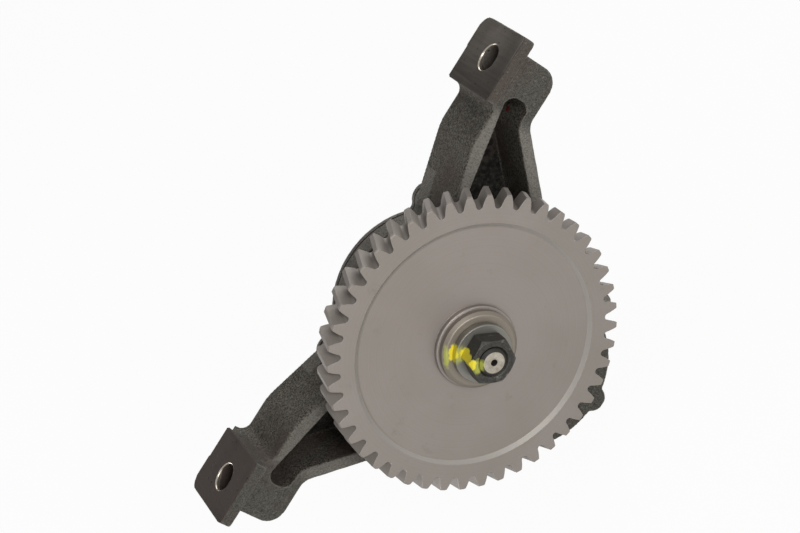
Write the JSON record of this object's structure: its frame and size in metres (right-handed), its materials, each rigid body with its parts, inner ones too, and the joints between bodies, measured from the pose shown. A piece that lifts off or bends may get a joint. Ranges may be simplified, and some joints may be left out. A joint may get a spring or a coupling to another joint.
{
  "type": "engine oil pump",
  "caption": "Gear-type engine oil pump: bracket casting with two mounting feet, helical drive gear in front, meshing rotors, rear cover and relief valve.",
  "frame": {"origin": "midway between the two foot holes, in the plane of the machined foot faces", "axes": "+Z out of the foot faces, towards the engine block; +X along the line of the feet; -Y towards the drive gear, +Y towards the rear cover"},
  "size_m": [0.2686, 0.1155, 0.171],
  "materials": {
    "cast_iron": "rough as-cast iron, dark grey, machined faces on the feet",
    "cover_iron": "as-cast iron with a turned rim",
    "zinc_steel": "zinc plated",
    "bright_steel": "ground steel",
    "bronze": "bearing bronze",
    "copper_seal": "soft copper",
    "spring_steel": "spring steel",
    "seal_rubber": "nitrile rubber",
    "gear_steel": "turned and hobbed steel, matt grey",
    "washer_steel": "turned steel",
    "black_steel": "black phosphate",
    "rotor_steel": "ground sintered steel"
  },
  "bodies": {
    "root": {"pump_housing": "cast_iron", "rear_cover": "cover_iron", "cover_screws": "zinc_steel", "cover_dowels": "bright_steel", "front_bush": "bronze", "rear_bush": "bronze", "idler_shaft": "bright_steel", "relief_plug": "zinc_steel", "relief_plug_washer": "copper_seal", "relief_spring": "spring_steel", "pressure_port_seal": "seal_rubber", "suction_port_seal": "seal_rubber"},
    "drive": {"drive_shaft": "bright_steel", "drive_gear": "gear_steel", "gear_washer": "washer_steel", "gear_nut": "black_steel", "gear_key": "bright_steel", "drive_rotor": "rotor_steel", "rotor_key": "bright_steel"},
    "idler": {"idler_rotor": "rotor_steel", "idler_bush": "bronze"},
    "valve": {"relief_piston": "bright_steel"}
  },
  "joints": [
    {"name": "drive_spin", "type": "hinge", "parent": "root", "child": "drive", "pos_m": [0, 0, -0.058], "axis": [0, 1, 0], "continuous": true},
    {"name": "idler_spin", "type": "hinge", "parent": "root", "child": "idler", "pos_m": [0, 0, -0.108], "axis": [0, 1, 0], "continuous": true},
    {"name": "relief_slide", "type": "slide", "parent": "root", "child": "valve", "axis": [-1, 0, 0], "range_m": [0, 0.009], "stiffness_N_per_m": 3000, "springref_m": -0.012, "deforming": ["relief_spring"]}
  ],
  "couplings": [
    {"joint": "idler_spin", "follows": "drive_spin", "ratio": -1}
  ]
}
